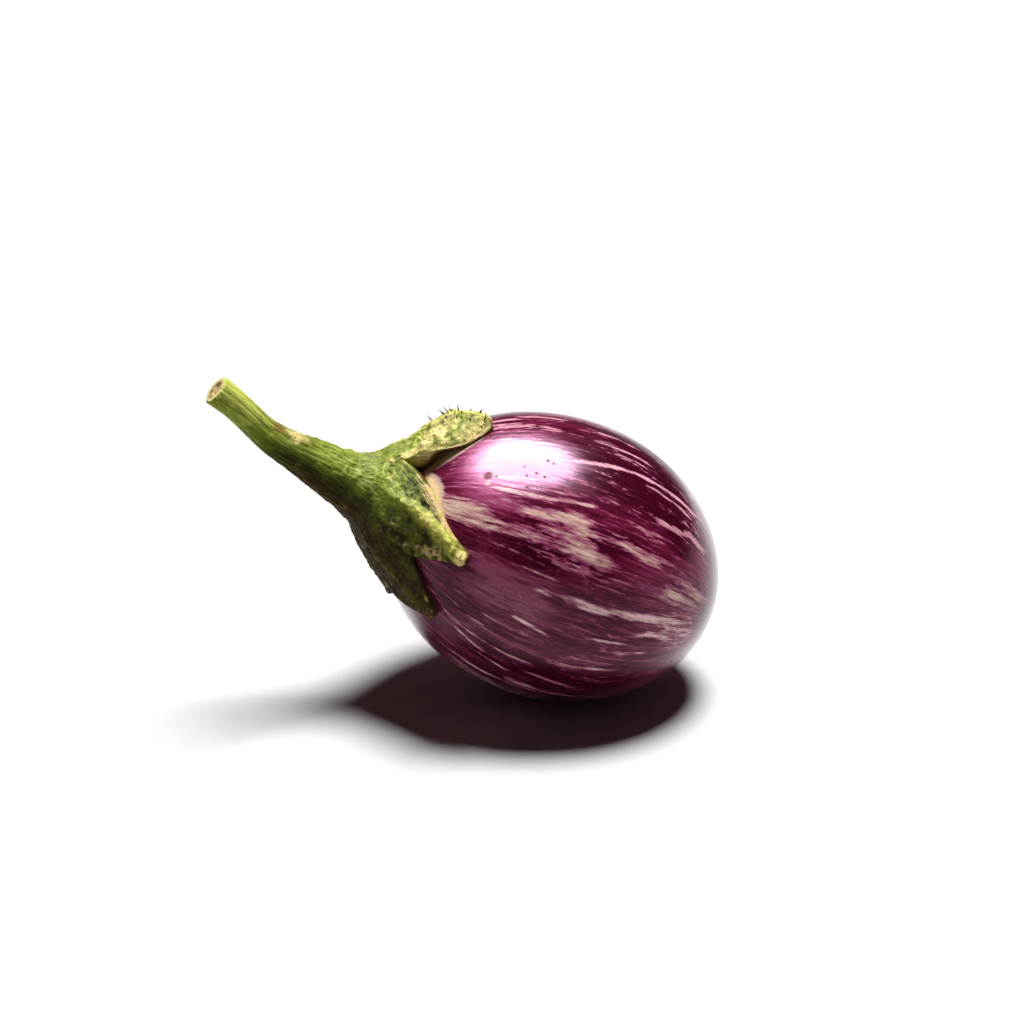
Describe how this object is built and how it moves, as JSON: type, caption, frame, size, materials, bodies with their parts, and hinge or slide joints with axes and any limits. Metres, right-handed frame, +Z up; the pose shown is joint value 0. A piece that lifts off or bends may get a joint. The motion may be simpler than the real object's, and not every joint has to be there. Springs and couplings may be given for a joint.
{
  "type": "eggplant",
  "caption": "Plump egg-shaped eggplant with a lobed green calyx and a curved cut stem, lying on its side on a small flat spot.",
  "frame": {"origin": "in the plane the fruit rests on, under the middle of the whole eggplant", "axes": "+Z up, +X towards the blossom end, which dips; the stem rises towards -X and bends slightly to -Y"},
  "size_m": [0.1308, 0.0736, 0.0897],
  "materials": {
    "fruit_skin": "smooth waxy glossy skin, deep plum with pale pink and cream streaks running from stem end to blossom end",
    "calyx_flesh": "matt fleshy green, warty and finely ridged, browner and paler at the lobe edges",
    "stem_bark": "matt yellow-green stalk with fine lengthwise ridges and a pale corky cut end"
  },
  "bodies": {
    "root": {"fruit": "fruit_skin", "calyx": "calyx_flesh", "stem": "stem_bark"}
  },
  "joints": []
}
